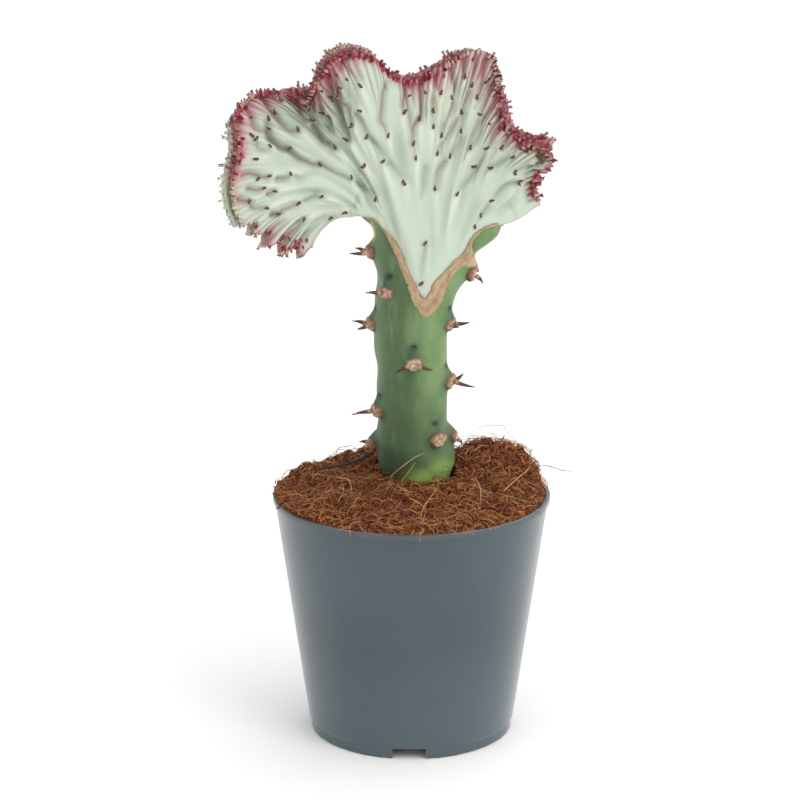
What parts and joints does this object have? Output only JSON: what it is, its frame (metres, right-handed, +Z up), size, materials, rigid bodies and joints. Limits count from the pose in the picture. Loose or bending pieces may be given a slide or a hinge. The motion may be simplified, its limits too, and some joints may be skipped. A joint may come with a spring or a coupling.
{
  "type": "potted coral cactus",
  "caption": "Pale crested euphorbia fan with a toothed crimson edge, grafted on a thick green spiny stem, standing in coir mix in a round grey nursery pot.",
  "frame": {"origin": "middle of the whole plant's box seen from above, on the surface that the pot's foot pads stand on", "axes": "+Z up along the stem, -Y towards the front, which is the side of the fan that the picture shows, +X to the right as seen from the front"},
  "size_m": [0.1242, 0.105, 0.2666],
  "materials": {
    "pot_plastic": "moulded slate-grey polypropylene, satin",
    "coir_mix": "loose reddish-brown coconut fibre and crumbs, matt",
    "stem_skin": "waxy mottled green living skin",
    "corky_callus": "dry tan cork",
    "fan_skin": "waxy pale mint living skin"
  },
  "bodies": {
    "root": {"pot": "pot_plastic", "soil": "coir_mix", "rootstock": "stem_skin", "graft_callus": "corky_callus", "crest": "fan_skin"}
  },
  "joints": []
}
